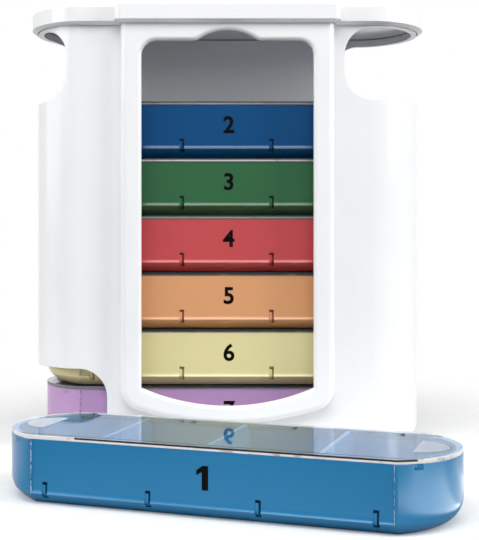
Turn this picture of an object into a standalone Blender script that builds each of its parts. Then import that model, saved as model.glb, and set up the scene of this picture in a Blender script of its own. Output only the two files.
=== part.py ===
"""Weekly pill box: a white dispenser tower that holds seven coloured trays.

Six trays stand in the tower, one place at the top is free, and the first
day's tray lies in front of it. Each tray has four compartments under a clear
lid, whose two rails slide in grooves along the tray's long walls.

Metres, +Z up. The origin is the middle of the tower's underside, +X is the
tower's right-hand end and -Y is its window side.
"""
import math

import bmesh
import bpy
from mathutils import Vector

# Tray: the outline is two flat sides joined by shallow arcs
TRAY_HALF_LENGTH = 0.0695
TRAY_HALF_DEPTH = 0.0213
TRAY_END_REACH = 0.0146
TRAY_HEIGHT = 0.0194
TRAY_WALL = 0.0020
TRAY_FLOOR = 0.0016
TRAY_END_ROUNDING = 0.0072
TRAY_RIDGE_HEIGHT = 0.0037
TRAY_CHAMFER_DEPTH = 0.0042
PANEL_RECESS = 0.0005
PANEL_STEP = 0.0006
COMPARTMENT_PITCH_SHARE = 0.2381
DIVIDER_THICKNESS = 0.0014
COMPARTMENT_ROUNDING = 0.0050
SLOT_WIDTH = 0.0017
SLOT_TOP = 0.0066
SLOT_DEPTH = 0.0010
SLOTS_PER_TRAY = 4

# Lid: a flat plate on two L-shaped rails
LID_THICKNESS = 0.0010
RAIL_THICKNESS = 0.0009
RAIL_DROP = 0.0014
TONGUE_REACH = 0.0006
TONGUE_THICKNESS = 0.0006
GRIP_MARGIN = 0.0035
GRIP_LENGTH = 0.0090
GRIP_HALF_WIDTH = 0.0090
GRIP_GROOVE_DEPTH = 0.0005
GRIP_GROOVES = 6

# Tower
HOUSING_WALL = 0.0022
HOUSING_END_REACH = 0.0124
HOUSING_FLOOR = 0.0027
BASE_ROUNDING = 0.0080
PLACES = 7
HEADROOM = 0.0087
PILLAR_MARGIN = 0.0040
PILLAR_REACH = 0.0050
PILLAR_BOTTOM = 0.0110
PILLAR_BOTTOM_RADIUS = 0.1100
PILLAR_CORNER_RADIUS = 0.0080
PILLAR_EDGE_RADIUS = 0.0026
FRAME_WIDTH = 0.0076
SILL_HEIGHT = 0.0066
LINTEL_HEIGHT = 0.0075
WINDOW_BOTTOM_RADIUS = 0.0775
WINDOW_CORNER_RADIUS = 0.0054
THUMB_HALF_WIDTH = 0.0112
THUMB_RISE = 0.0037

# Side openings, where a tray goes in at the top and comes out at the foot
NOTCH_RADIUS = 0.0105
NOTCH_STRIP = 0.0017
TOP_RIGHT_NOTCH_REACH = 0.0301
TOP_LEFT_NOTCH_REACH = 0.0139
FOOT_NOTCH_REACH = 0.0289
FOOT_NOTCH_HEADROOM = 0.0066

# Cap
CAP_OVERHANG = 0.0022
CAP_HEIGHT = 0.0070
CAP_RECESS = 0.0012
CAP_EDGE_RADIUS = 0.0022

# Clearances
SEAT_GAP = 0.0003
SLIDE_GAP = 0.0003
TRAY_SIDE_GAP = 0.0009
TRAY_END_GAP = 0.0012
OVERRUN = 0.0050

# Where the first day's tray lies on the table, and how it is turned
LOOSE_TRAY_PLACE = (-0.0001, -0.0985)
LOOSE_TRAY_TURN = math.radians(-19.3)

# Smoothness
ARC_STEPS = 8
HOUSING_ARC_STEPS = 12
ROUNDING_STEPS = 4
CORNER_STEPS = 5
SMOOTH_ANGLE = math.radians(35)

# Sizes that follow from the ones above
TRAY_PITCH = TRAY_HEIGHT + SEAT_GAP + LID_THICKNESS + SEAT_GAP
TRAY_FLAT_HALF = TRAY_HALF_LENGTH - TRAY_END_REACH
COMPARTMENT_PITCH = TRAY_HALF_LENGTH * 2 * COMPARTMENT_PITCH_SHARE
GRIP_END = TRAY_HALF_LENGTH - GRIP_MARGIN
GRIP_START = GRIP_END - GRIP_LENGTH
STACK_FOOT = HOUSING_FLOOR + SEAT_GAP
PANEL_HALF_DEPTH = TRAY_HALF_DEPTH - PANEL_RECESS
TRAY_INNER_HALF_DEPTH = PANEL_HALF_DEPTH - TRAY_WALL
RAIL_OUTER = TRAY_INNER_HALF_DEPTH - SLIDE_GAP
RAIL_INNER = RAIL_OUTER - RAIL_THICKNESS
HOUSING_HALF_DEPTH = TRAY_HALF_DEPTH + TRAY_SIDE_GAP + HOUSING_WALL
HOUSING_HALF_LENGTH = TRAY_HALF_LENGTH + TRAY_END_GAP + HOUSING_WALL
HOUSING_FLAT_HALF = HOUSING_HALF_LENGTH - HOUSING_END_REACH
TOP_RIGHT_NOTCH = HOUSING_HALF_LENGTH - TOP_RIGHT_NOTCH_REACH
TOP_LEFT_NOTCH = HOUSING_HALF_LENGTH - TOP_LEFT_NOTCH_REACH
FOOT_NOTCH = HOUSING_HALF_LENGTH - FOOT_NOTCH_REACH
FOOT_NOTCH_TOP = STACK_FOOT + TRAY_PITCH + FOOT_NOTCH_HEADROOM
PILLAR_HALF_WIDTH = TOP_RIGHT_NOTCH - PILLAR_MARGIN
WINDOW_HALF_WIDTH = PILLAR_HALF_WIDTH - FRAME_WIDTH
WINDOW_BOTTOM = PILLAR_BOTTOM + SILL_HEIGHT
TOP_PLACE_FLOOR = STACK_FOOT + TRAY_PITCH * (PLACES - 1)
CAP_UNDERSIDE = TOP_PLACE_FLOOR + TRAY_PITCH + HEADROOM - CAP_RECESS
CEILING = CAP_UNDERSIDE + CAP_RECESS
HOUSING_TOP = CEILING - SEAT_GAP
CAP_TOP = CAP_UNDERSIDE + CAP_HEIGHT
NOTCH_TOP = CAP_UNDERSIDE - NOTCH_STRIP
WINDOW_TOP = CAP_UNDERSIDE - LINTEL_HEIGHT

WHITE = (0.84, 0.85, 0.87)
CLEAR = (0.80, 0.83, 0.86)

# Day, whether it stands in the tower and at which place, and its colour
TRAYS = (
    ("sunday", 0, (0.42, 0.26, 0.47)),
    ("saturday", 1, (0.72, 0.66, 0.35)),
    ("friday", 2, (0.72, 0.38, 0.19)),
    ("thursday", 3, (0.55, 0.09, 0.10)),
    ("wednesday", 4, (0.04, 0.13, 0.06)),
    ("tuesday", 5, (0.01, 0.08, 0.22)),
    ("monday", None, (0.05, 0.22, 0.40)),
)


def clear_scene():
    """Remove every object and mesh that the file opens with."""
    for item in list(bpy.data.objects):
        bpy.data.objects.remove(item, do_unlink=True)
    for mesh in list(bpy.data.meshes):
        bpy.data.meshes.remove(mesh)


def plastic(name, colour, roughness):
    """A smooth moulded plastic of one colour."""
    material = bpy.data.materials.new(name)
    material.use_nodes = True
    shader = material.node_tree.nodes["Principled BSDF"]
    shader.inputs["Base Color"].default_value = (*colour, 1)
    shader.inputs["Roughness"].default_value = roughness
    shader.inputs["Metallic"].default_value = 0
    return material


def mesh_object(name, bm):
    """Turn a bmesh into an object with its faces pointing out."""
    bmesh.ops.recalc_face_normals(bm, faces=bm.faces)
    mesh = bpy.data.meshes.new(name)
    bm.to_mesh(mesh)
    bm.free()
    item = bpy.data.objects.new(name, mesh)
    bpy.context.collection.objects.link(item)
    return item


def combine(body, tools, operation):
    """Cut the tools out of the body, join them to it or keep what they share, and drop them."""
    for tool in tools:
        modifier = body.modifiers.new(tool.name, "BOOLEAN")
        modifier.operation = operation
        modifier.solver = "EXACT"
        modifier.object = tool
    bpy.context.view_layer.update()
    depsgraph = bpy.context.evaluated_depsgraph_get()
    mesh = bpy.data.meshes.new_from_object(body.evaluated_get(depsgraph))
    body.modifiers.clear()
    body.data = mesh
    for tool in tools:
        bpy.data.objects.remove(tool, do_unlink=True)
    return body


def cut(body, *tools):
    return combine(body, tools, "DIFFERENCE")


def join(body, *tools):
    return combine(body, tools, "UNION")


def end_arc(half_length, half_depth, flat_half):
    """Centre and radius of the arc through the flat side's corner and the tip."""
    reach = half_length - flat_half
    radius = (reach ** 2 + half_depth ** 2) / (2 * reach)
    return half_length - radius, radius


def moved_in(plan, inset):
    """The plan (half length, half depth, flat half) moved inwards by a wall."""
    half_length, half_depth, flat_half = plan
    centre, radius = end_arc(half_length, half_depth, flat_half)
    inner_depth = half_depth - inset
    inner_radius = radius - inset
    inner_flat = centre + math.sqrt(inner_radius ** 2 - inner_depth ** 2)
    return half_length - inset, inner_depth, inner_flat


def plan_points(plan, steps):
    """The outline of a plan, anticlockwise from the right end's front corner."""
    half_length, half_depth, flat_half = plan
    centre, radius = end_arc(half_length, half_depth, flat_half)
    span = math.atan2(half_depth, flat_half - centre)
    points = []
    for side in (1, -1):
        for step in range(steps + 1):
            angle = span * (2 * step / steps - 1)
            along = centre + radius * math.cos(angle)
            across = radius * math.sin(angle)
            points.append((side * along, side * across))
    return points


def add_ring(bm, points, height):
    return [bm.verts.new((x, y, height)) for x, y in points]


def skin(bm, rings):
    """Join rings of equal count into one closed body."""
    count = len(rings[0])
    for lower, upper in zip(rings, rings[1:]):
        for i in range(count):
            j = (i + 1) % count
            bm.faces.new((lower[i], lower[j], upper[j], upper[i]))
    bm.faces.new(reversed(rings[0]))
    bm.faces.new(rings[-1])


def rounding_inset(height, radius):
    """How far a rounded foot edge lies inside the wall at a height."""
    rise = max(radius - height, 0)
    return radius - math.sqrt(radius ** 2 - rise ** 2)


def rounding_heights(radius):
    """Heights that share a rounded edge into equal turns."""
    turns = [step / ROUNDING_STEPS * math.pi / 2 for step in range(ROUNDING_STEPS + 1)]
    return [radius * (1 - math.cos(turn)) for turn in turns]


def prism(name, profile, axis, start, end):
    """Extrude a flat profile along X ("x") or Y ("y") from start to end."""
    bm = bmesh.new()
    if axis == "x":
        verts = [bm.verts.new((start, across, up)) for across, up in profile]
        move = Vector((end - start, 0, 0))
    else:
        verts = [bm.verts.new((along, start, up)) for along, up in profile]
        move = Vector((0, end - start, 0))
    face = bm.faces.new(verts)
    swept = bmesh.ops.extrude_face_region(bm, geom=[face])
    moved = [part for part in swept["geom"] if isinstance(part, bmesh.types.BMVert)]
    bmesh.ops.translate(bm, verts=moved, vec=move)
    return mesh_object(name, bm)


def box(name, low, high):
    profile = ((low[1], low[2]), (high[1], low[2]), (high[1], high[2]), (low[1], high[2]))
    return prism(name, profile, "x", low[0], high[0])


def arc(centre, radius, start, end, steps):
    """Points along an arc, with angles in degrees from +X."""
    points = []
    for step in range(steps + 1):
        angle = math.radians(start + (end - start) * step / steps)
        points.append((centre[0] + radius * math.cos(angle), centre[1] + radius * math.sin(angle)))
    return points


def tray_body():
    """The tray's outside: round ends that stand proud of two long flat panels."""
    plan = (TRAY_HALF_LENGTH, TRAY_HALF_DEPTH, TRAY_FLAT_HALF)
    heights = rounding_heights(TRAY_END_ROUNDING) + [TRAY_RIDGE_HEIGHT, TRAY_HEIGHT]
    bm = bmesh.new()
    rings = []
    for height in sorted(heights):
        end_inset = rounding_inset(height, TRAY_END_ROUNDING)
        below_ridge = max(1 - height / TRAY_RIDGE_HEIGHT, 0)
        side_inset = TRAY_CHAMFER_DEPTH * below_ridge
        level = (plan[0] - end_inset, plan[1] - side_inset, plan[2])
        panel = (plan[2] - PANEL_STEP, level[1] - PANEL_RECESS)
        ends = plan_points(level, ARC_STEPS)
        half = len(ends) // 2
        outline = [(panel[0], -panel[1])] + ends[:half] + [(panel[0], panel[1])]
        outline += [(-panel[0], panel[1])] + ends[half:] + [(-panel[0], -panel[1])]
        rings.append(add_ring(bm, outline, height))
    skin(bm, rings)
    return mesh_object("tray_body", bm)


def compartment(left, right):
    """The hollow of one compartment between two divider faces."""
    plan = moved_in((TRAY_HALF_LENGTH, PANEL_HALF_DEPTH, TRAY_FLAT_HALF), TRAY_WALL)
    heights = rounding_heights(COMPARTMENT_ROUNDING) + [TRAY_HEIGHT + OVERRUN - TRAY_FLOOR]
    bm = bmesh.new()
    rings = []
    for height in heights:
        inset = rounding_inset(height, COMPARTMENT_ROUNDING)
        level = (plan[0] - inset, plan[1] - inset, plan[2] - inset)
        rings.append(add_ring(bm, plan_points(level, ARC_STEPS), TRAY_FLOOR + height))
    skin(bm, rings)
    bmesh.ops.recalc_face_normals(bm, faces=bm.faces)
    for place, away in ((left, -1), (right, 1)):
        geom = bm.verts[:] + bm.edges[:] + bm.faces[:]
        sliced = bmesh.ops.bisect_plane(
            bm, geom=geom, plane_co=(place, 0, 0), plane_no=(away, 0, 0), clear_outer=True)
        rim = [part for part in sliced["geom_cut"] if isinstance(part, bmesh.types.BMEdge)]
        if rim:
            bmesh.ops.contextual_create(bm, geom=rim)
    return mesh_object("compartment", bm)


def compartments():
    """The four hollows, with dividers at each compartment pitch."""
    half_divider = DIVIDER_THICKNESS / 2
    end = TRAY_HALF_LENGTH + OVERRUN
    walls = [-COMPARTMENT_PITCH, 0, COMPARTMENT_PITCH]
    lefts = [-end] + [wall + half_divider for wall in walls]
    rights = [wall - half_divider for wall in walls] + [end]
    return [compartment(left, right) for left, right in zip(lefts, rights)]


def rail_channel(side):
    """The way that a lid rail runs: a slot from above and a groove in the wall."""
    inner = RAIL_INNER - SLIDE_GAP
    outer = RAIL_OUTER + SLIDE_GAP
    groove = RAIL_OUTER + TONGUE_REACH + SLIDE_GAP
    foot = TRAY_HEIGHT - RAIL_DROP - SLIDE_GAP
    roof = TRAY_HEIGHT - RAIL_DROP + TONGUE_THICKNESS + SLIDE_GAP
    top = TRAY_HEIGHT + OVERRUN
    profile = [(inner, top), (inner, foot), (groove, foot), (groove, roof), (outer, roof), (outer, top)]
    profile = [(side * across, up) for across, up in profile]
    reach = TRAY_HALF_LENGTH + OVERRUN
    return prism("rail_channel", profile, "x", -reach, reach)


def front_slots():
    """A narrow window of the mould's core under the middle of each compartment."""
    slots = []
    outside = -TRAY_HALF_DEPTH - OVERRUN
    inside = -PANEL_HALF_DEPTH + SLOT_DEPTH
    for number in range(SLOTS_PER_TRAY):
        middle = COMPARTMENT_PITCH * (number - (SLOTS_PER_TRAY - 1) / 2)
        low = (middle - SLOT_WIDTH / 2, outside, SLOT_DEPTH)
        high = (middle + SLOT_WIDTH / 2, inside, SLOT_TOP)
        slots.append(box("front_slot", low, high))
    return slots


def tray_mesh():
    """One tray, shared by all the days."""
    body = tray_body()
    cut(body, *compartments())
    cut(body, rail_channel(1), rail_channel(-1), *front_slots())
    return finished_mesh(body)


def plan_slab(name, plan, bottom, top):
    """A slab with the outline of a tray's plan."""
    bm = bmesh.new()
    skin(bm, [add_ring(bm, plan_points(plan, ARC_STEPS), height) for height in (bottom, top)])
    return mesh_object(name, bm)


def lid_rail(side):
    """An L-shaped rail whose tongue points outwards, with ends that follow the lid's outline."""
    plate_foot = TRAY_HEIGHT + SEAT_GAP
    root = plate_foot + LID_THICKNESS / 2
    foot = TRAY_HEIGHT - RAIL_DROP
    tongue_top = foot + TONGUE_THICKNESS
    tongue = RAIL_OUTER + TONGUE_REACH
    profile = [(RAIL_INNER, root), (RAIL_INNER, foot), (tongue, foot)]
    profile += [(tongue, tongue_top), (RAIL_OUTER, tongue_top), (RAIL_OUTER, root)]
    profile = [(side * across, up) for across, up in profile]
    rail = prism("lid_rail", profile, "x", -TRAY_HALF_LENGTH, TRAY_HALF_LENGTH)
    within = moved_in((TRAY_HALF_LENGTH, TRAY_HALF_DEPTH, TRAY_FLAT_HALF), SEAT_GAP)
    ends = plan_slab("rail_ends", within, foot - OVERRUN, root + OVERRUN)
    return combine(rail, [ends], "INTERSECT")


def grip_groove(side, number, top):
    """One V-groove of a D-shaped finger grip, as long as the D is wide there."""
    pitch = (GRIP_END - GRIP_START) / GRIP_GROOVES
    place = GRIP_START + pitch * (number + 1 / 2)
    share = (place - GRIP_START) / (GRIP_END - GRIP_START)
    half_width = GRIP_HALF_WIDTH * math.sqrt(1 - share ** 2)
    half_mouth = pitch / 3
    profile = [(place - half_mouth, top + GRIP_GROOVE_DEPTH), (place, top - GRIP_GROOVE_DEPTH)]
    profile += [(place + half_mouth, top + GRIP_GROOVE_DEPTH)]
    profile = [(side * along, up) for along, up in profile]
    return prism("grip_groove", profile, "y", -half_width, half_width)


def lid_mesh():
    """The clear lid: a plate with the tray's outline, two rails and two grips."""
    plan = (TRAY_HALF_LENGTH, TRAY_HALF_DEPTH, TRAY_FLAT_HALF)
    bottom = TRAY_HEIGHT + SEAT_GAP
    top = bottom + LID_THICKNESS
    plate = plan_slab("lid_plate", plan, bottom, top)
    join(plate, lid_rail(1), lid_rail(-1))
    grooves = [grip_groove(side, number, top) for side in (1, -1) for number in range(GRIP_GROOVES)]
    cut(plate, *grooves)
    return finished_mesh(plate)


def finished_mesh(item):
    """Keep an object's mesh, shaded smooth but for its sharp edges, and drop the object."""
    mesh = item.data
    shade(mesh)
    bpy.data.objects.remove(item, do_unlink=True)
    return mesh


def shade(mesh):
    mesh.shade_smooth()
    mesh.set_sharp_from_angle(angle=SMOOTH_ANGLE)


def add_tray(day, place, colour, body, lid):
    """A tray and its lid at a place in the tower, or on the table in front."""
    tray = bpy.data.objects.new(day + "_tray", body.copy())
    tray.data.materials.clear()
    tray.data.materials.append(plastic(day + "_plastic", colour, 0.25))
    if place is None:
        tray.location = (*LOOSE_TRAY_PLACE, 0)
        tray.rotation_euler = (0, 0, LOOSE_TRAY_TURN)
    else:
        tray.location = (0, 0, STACK_FOOT + TRAY_PITCH * place)
    cover = bpy.data.objects.new(day + "_lid", lid.copy())
    cover.data.materials.clear()
    cover.data.materials.append(plastic(day + "_lid_plastic", CLEAR, 0.08))
    cover.parent = tray
    bpy.context.collection.objects.link(tray)
    bpy.context.collection.objects.link(cover)


def housing_plan():
    return HOUSING_HALF_LENGTH, HOUSING_HALF_DEPTH, HOUSING_FLAT_HALF


def tower_tube():
    """The outer tube with its rounded foot."""
    bm = bmesh.new()
    rings = []
    for height in rounding_heights(BASE_ROUNDING) + [HOUSING_TOP]:
        level = moved_in(housing_plan(), rounding_inset(height, BASE_ROUNDING))
        rings.append(add_ring(bm, plan_points(level, HOUSING_ARC_STEPS), height))
    skin(bm, rings)
    return mesh_object("housing", bm)


def tower_hollow():
    """The well that the trays stand in."""
    plan = moved_in(housing_plan(), HOUSING_WALL)
    bm = bmesh.new()
    rings = []
    for height in (HOUSING_FLOOR, HOUSING_TOP + OVERRUN):
        rings.append(add_ring(bm, plan_points(plan, HOUSING_ARC_STEPS), height))
    skin(bm, rings)
    return mesh_object("tower_hollow", bm)


def pillar_profile(half_width, bottom, bottom_radius, corner, top):
    """Upright sides on a shallow arc, with round corners between them."""
    centre_height = bottom + bottom_radius
    corner_x = half_width - corner
    corner_z = centre_height - math.sqrt((bottom_radius - corner) ** 2 - corner_x ** 2)
    lean = math.degrees(math.atan2(corner_z - centre_height, corner_x))
    shallow = arc((0, centre_height), bottom_radius, -180 - lean, lean, CORNER_STEPS * 2)
    right = arc((corner_x, corner_z), corner, lean, 0, CORNER_STEPS)
    left = [(-x, z) for x, z in reversed(right)]
    return [(-half_width, top)] + left[:-1] + shallow + right[1:] + [(half_width, top)]


def pillar_front():
    return HOUSING_HALF_DEPTH + PILLAR_REACH


def pillar():
    """The raised frame round the window, with rounded front edges."""
    profile = pillar_profile(
        PILLAR_HALF_WIDTH, PILLAR_BOTTOM, PILLAR_BOTTOM_RADIUS, PILLAR_CORNER_RADIUS, HOUSING_TOP)
    front = -pillar_front()
    item = prism("pillar", profile, "y", front, -HOUSING_HALF_DEPTH + HOUSING_WALL / 2)
    bm = bmesh.new()
    bm.from_mesh(item.data)
    at_front = [edge for edge in bm.edges if all(abs(vert.co.y - front) < SEAT_GAP for vert in edge.verts)]
    rim = [edge for edge in at_front if any(vert.co.z < HOUSING_TOP - SEAT_GAP for vert in edge.verts)]
    bmesh.ops.bevel(bm, geom=rim, offset=PILLAR_EDGE_RADIUS, offset_type="OFFSET", affect="EDGES",
                    segments=2, profile=0.5, material=-1)
    bm.to_mesh(item.data)
    bm.free()
    return item


def pillar_hollow():
    """The space behind the frame, so that its wall is as thick as the tower's."""
    profile = pillar_profile(
        PILLAR_HALF_WIDTH - HOUSING_WALL, PILLAR_BOTTOM + HOUSING_WALL,
        PILLAR_BOTTOM_RADIUS - HOUSING_WALL, PILLAR_CORNER_RADIUS - HOUSING_WALL,
        HOUSING_TOP + OVERRUN)
    return prism("pillar_hollow", profile, "y", -pillar_front() + HOUSING_WALL, 0)


def window_profile():
    """The window: a shallow arc below, round corners and a thumb arc above."""
    centre = WINDOW_BOTTOM + WINDOW_BOTTOM_RADIUS
    lean = math.degrees(math.asin(WINDOW_HALF_WIDTH / WINDOW_BOTTOM_RADIUS))
    points = arc((0, centre), WINDOW_BOTTOM_RADIUS, -90 - lean, -90 + lean, CORNER_STEPS * 2)
    corner = (WINDOW_HALF_WIDTH - WINDOW_CORNER_RADIUS, WINDOW_TOP - WINDOW_CORNER_RADIUS)
    right = arc(corner, WINDOW_CORNER_RADIUS, 0, 90, CORNER_STEPS)
    thumb_radius = (THUMB_HALF_WIDTH ** 2 + THUMB_RISE ** 2) / (2 * THUMB_RISE)
    thumb_lean = math.degrees(math.asin(THUMB_HALF_WIDTH / thumb_radius))
    thumb_centre = (0, WINDOW_TOP + THUMB_RISE - thumb_radius)
    thumb = arc(thumb_centre, thumb_radius, 90 - thumb_lean, 90 + thumb_lean, CORNER_STEPS * 2)
    left = [(-x, z) for x, z in reversed(right)]
    return points + right + thumb + left


def window():
    return prism("window", window_profile(), "y", -pillar_front() - OVERRUN, 0)


def side_notch(side, inner, bottom, top, round_top, round_bottom):
    """An opening at one end, through the front and back walls."""
    outer = HOUSING_HALF_LENGTH + OVERRUN
    centre = inner + NOTCH_RADIUS
    profile = [(outer, bottom)]
    if round_bottom:
        profile += arc((centre, bottom + NOTCH_RADIUS), NOTCH_RADIUS, 270, 180, CORNER_STEPS)
    else:
        profile.append((inner, bottom))
    if round_top:
        profile += arc((centre, top - NOTCH_RADIUS), NOTCH_RADIUS, 180, 90, CORNER_STEPS)
    else:
        profile.append((inner, top))
    profile.append((outer, top))
    profile = [(side * along, up) for along, up in profile]
    reach = HOUSING_HALF_DEPTH + OVERRUN
    return prism("side_notch", profile, "y", -reach, reach)


def add_housing():
    """The tower, in one moulding with its floor."""
    body = tower_tube()
    join(body, pillar())
    cut(body, tower_hollow())
    cut(body, pillar_hollow())
    cut(body, window())
    cut(body, side_notch(1, TOP_RIGHT_NOTCH, TOP_PLACE_FLOOR, NOTCH_TOP, True, True))
    cut(body, side_notch(-1, TOP_LEFT_NOTCH, TOP_PLACE_FLOOR, NOTCH_TOP, True, True))
    cut(body, side_notch(-1, FOOT_NOTCH, HOUSING_FLOOR, FOOT_NOTCH_TOP, True, False))
    body.name = "housing"
    shade(body.data)
    body.data.materials.clear()
    body.data.materials.append(plastic("white_plastic", WHITE, 0.2))


def cap_slab(name, overhang, bottom, top, edge_radius):
    """A slab with the tower's outline and its pillar, grown by an overhang."""
    plan = moved_in(housing_plan(), -overhang)
    bump = (PILLAR_HALF_WIDTH + overhang, pillar_front() + overhang)
    ends = plan_points(plan, HOUSING_ARC_STEPS)
    corner = PILLAR_EDGE_RADIUS
    right = arc((bump[0] - corner, -bump[1] + corner), corner, -90, 0, CORNER_STEPS)
    left = [(-x, y) for x, y in reversed(right)]
    outline = ends + [(-bump[0], -plan[1])] + left + right + [(bump[0], -plan[1])]
    bm = bmesh.new()
    skin(bm, [add_ring(bm, outline, height) for height in (bottom, top)])
    if edge_radius:
        rim = [edge for edge in bm.edges if all(vert.co.z > top - edge_radius for vert in edge.verts)]
        bmesh.ops.bevel(bm, geom=rim, offset=edge_radius, offset_type="OFFSET", affect="EDGES",
                        segments=2, profile=0.5, material=-1)
    return mesh_object(name, bm)


def add_cap():
    """The cap, which overhangs the tower and takes its top edge in a recess."""
    cap = cap_slab("top_cap", CAP_OVERHANG, CAP_UNDERSIDE, CAP_TOP, CAP_EDGE_RADIUS)
    cut(cap, cap_slab("cap_recess", SEAT_GAP, CAP_UNDERSIDE - OVERRUN, CEILING, 0))
    shade(cap.data)
    cap.data.materials.clear()
    cap.data.materials.append(plastic("cap_plastic", WHITE, 0.2))


def build():
    clear_scene()
    add_housing()
    add_cap()
    body = tray_mesh()
    lid = lid_mesh()
    for day, place, colour in TRAYS:
        add_tray(day, place, colour, body, lid)
    bpy.data.meshes.remove(body)
    bpy.data.meshes.remove(lid)
    bpy.context.view_layer.update()


build()
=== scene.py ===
# %% [markdown]
# # Weekly pill box
#
# A white tower stands on a table. Six coloured trays are stacked in it, and the seventh
# lies in front. Every tray has four compartments under a clear lid that slides.
#
# The imported model gives the frame: where each piece is and which body it moves with. This file
# dresses that frame. It loads the frame first and never moves a piece of the frame.

# %% Load the frame
import math

import bmesh
import bpy
from mathutils import Matrix, Vector


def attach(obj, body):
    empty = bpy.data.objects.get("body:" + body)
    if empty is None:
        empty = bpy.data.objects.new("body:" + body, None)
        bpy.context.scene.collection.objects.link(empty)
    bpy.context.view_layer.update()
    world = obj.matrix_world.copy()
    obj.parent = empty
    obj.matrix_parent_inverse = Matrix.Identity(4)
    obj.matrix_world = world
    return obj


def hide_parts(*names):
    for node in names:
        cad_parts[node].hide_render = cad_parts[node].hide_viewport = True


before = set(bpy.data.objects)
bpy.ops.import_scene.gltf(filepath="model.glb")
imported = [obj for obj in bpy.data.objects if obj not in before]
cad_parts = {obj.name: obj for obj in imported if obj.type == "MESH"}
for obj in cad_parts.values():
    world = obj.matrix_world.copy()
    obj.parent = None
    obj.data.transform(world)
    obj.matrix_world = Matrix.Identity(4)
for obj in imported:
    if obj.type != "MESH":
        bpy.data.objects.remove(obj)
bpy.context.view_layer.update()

# %% [markdown]
# ## The camera
#
# A product photograph like this one is taken from some way off, so that upright edges stay
# nearly parallel. The camera stands level and the frame is shifted down instead of tilting
# it: a tilted camera would make the tower lean. The shift moves the picture on the sensor,
# as a view camera does. The focal length and the axis are in pixels of a picture 479 wide
# and 540 high, and the camera's place is in metres, like every size below.

# %% Camera
PICTURE_WIDTH = 479
PICTURE_HEIGHT = 540
FOCAL_LENGTH = 1110
AXIS_X = 227.5
AXIS_Y = 227.3
SENSOR_MM = 36
CAMERA_PLACE = (0, -0.4301, 0.0823)
NEAREST = 0.01


def add_object(name, data):
    """Put an object with this data into the scene."""
    made = bpy.data.objects.new(name, data)
    bpy.context.collection.objects.link(made)
    return made


camera_data = bpy.data.cameras.new("camera")
camera_data.sensor_width = SENSOR_MM
camera_data.lens = FOCAL_LENGTH / PICTURE_HEIGHT * SENSOR_MM
camera_data.shift_x = (PICTURE_WIDTH / 2 - AXIS_X) / PICTURE_HEIGHT
camera_data.shift_y = (AXIS_Y - PICTURE_HEIGHT / 2) / PICTURE_HEIGHT
camera_data.clip_start = NEAREST
camera = add_object("camera", camera_data)
camera.location = CAMERA_PLACE
camera.rotation_euler = (math.radians(90), 0, 0)
bpy.context.scene.camera = camera
bpy.context.scene.view_settings.view_transform = "Standard"
print("lens", round(camera_data.lens, 2), "mm")

# %% [markdown]
# ## Writing shader maths as Python
#
# A material is a graph of nodes. Linking dozens of nodes by hand hides the idea, so one
# small class wraps a socket: `a * 2 + b` then adds a Multiply and an Add node. Any other
# node comes from the method `node`, which takes the node's type, its inputs and its settings.

# %% A signal in a material
class Signal:
    """A value that runs through a node tree."""

    def __init__(self, tree, socket=None):
        self.tree = tree
        self.socket = socket

    def node(self, kind, inputs=None, settings=None, output=0):
        """Add a node with its inputs and settings, and return one of its outputs."""
        made = self.tree.nodes.new("ShaderNode" + kind)
        for key, value in (settings or {}).items():
            setattr(made, key, value)
        for key, value in (inputs or {}).items():
            if isinstance(value, Signal):
                self.tree.links.new(value.socket, made.inputs[key])
            else:
                made.inputs[key].default_value = value
        return Signal(self.tree, made.outputs[output]) if len(made.outputs) else made

    def maths(self, operation, first, second):
        return self.node("Math", {0: first, 1: second}, {"operation": operation})

    def __add__(self, other):
        return self.maths("ADD", self, other)

    __radd__ = __add__

    def __rsub__(self, other):
        return self.maths("SUBTRACT", other, self)

    def __mul__(self, other):
        return self.maths("MULTIPLY", self, other)

    __rmul__ = __mul__


def new_material(name):
    """An empty material, as the signal that its nodes are added to."""
    material = bpy.data.materials.new(name)
    material.use_nodes = True
    material.node_tree.nodes.clear()
    return material, Signal(material.node_tree)

# %% [markdown]
# Four helpers cover what the finishes share: noise, a soft step, a colour between two colours
# and a shader between two shaders. The noise takes the object's own coordinates, so that the
# pattern belongs to the piece and moves with it.

# %% Noise, steps and blends
def noise(start, scale, detail=3, roughness=0.5):
    """Noise in the object's own coordinates, which wavers about 0.5."""
    place = start.node("TexCoord", output="Object")
    return start.node("TexNoise", {
        "Vector": place, "Scale": scale, "Detail": detail, "Roughness": roughness})


def ramp(start, value, low, high):
    """A soft step from 0 at `low` to 1 at `high`."""
    return start.node("MapRange", {"Value": value, "From Min": low, "From Max": high},
                      {"interpolation_type": "SMOOTHSTEP"})


def colour_between(start, share, first, second):
    """The first colour where the share is 0, and the second where it is 1."""
    return start.node("Mix", {0: share, 6: tuple(first) + (1,), 7: tuple(second) + (1,)},
                      {"data_type": "RGBA"}, output=2)


def blend(start, share, first, second):
    """The first shader where the share is 0, and the second where it is 1."""
    return start.node("MixShader", {0: share, 1: first, 2: second})

# %% [markdown]
# ## Floor
#
# The photograph has a white ground that fades into a white background. A studio does it with
# a pale sheet that is lit on its own. The sheet is one large square, a hair below the object's
# feet, because two faces in one plane would flicker.

# %% Floor sheet
FLOOR_REACH = 3
FLOOR_DROP = 0.00005


def mesh_from(name, bm):
    """The mesh of a bmesh, which is freed."""
    mesh = bpy.data.meshes.new(name)
    bm.to_mesh(mesh)
    bm.free()
    return mesh


bm = bmesh.new()
bmesh.ops.create_grid(bm, x_segments=1, y_segments=1, size=FLOOR_REACH)
bmesh.ops.translate(bm, verts=bm.verts, vec=(0, 0, -FLOOR_DROP))
floor = add_object("floor", mesh_from("floor", bm))
print("floor:", 2 * FLOOR_REACH, "m wide")

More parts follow.
